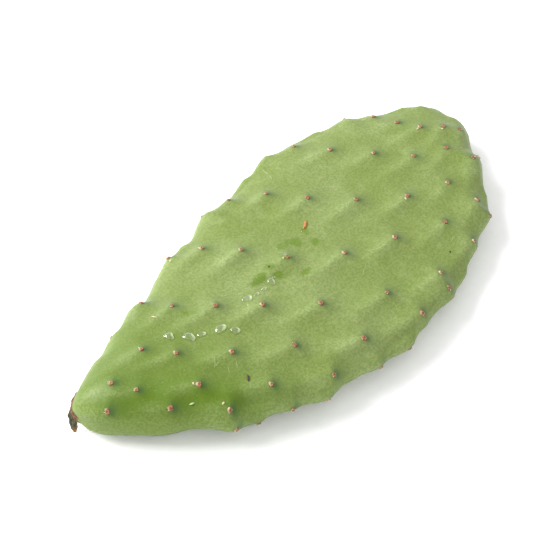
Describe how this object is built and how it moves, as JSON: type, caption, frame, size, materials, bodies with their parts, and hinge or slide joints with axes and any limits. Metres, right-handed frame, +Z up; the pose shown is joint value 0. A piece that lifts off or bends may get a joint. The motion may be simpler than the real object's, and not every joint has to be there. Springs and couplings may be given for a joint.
{
  "type": "prickly pear cactus pad",
  "caption": "One cut pad of a prickly pear cactus lying on its flat side, with woolly areoles on low ridges and a dried scar where it was cut.",
  "frame": {"origin": "under the middle of the whole object, on the surface it lies on", "axes": "+X from the cut base to the tip of the pad, +Z up, through the thickness of the pad, +Y across it to the left"},
  "size_m": [0.2434, 0.1214, 0.0249],
  "materials": {
    "green_skin": "matte green waxy skin with a pale bloom, brighter and yellower towards the cut base and the margin",
    "dried_tissue": "dry brown corky tissue, nearly black along the curled flake",
    "areole_wool": "short felted red-brown wool with a paler pink edge",
    "water": "clear drops of water",
    "dry_scrap": "small dry scraps of plant that lie on the skin"
  },
  "bodies": {
    "root": {"pad": "green_skin", "dried_scar": "dried_tissue"}
  },
  "joints": []
}
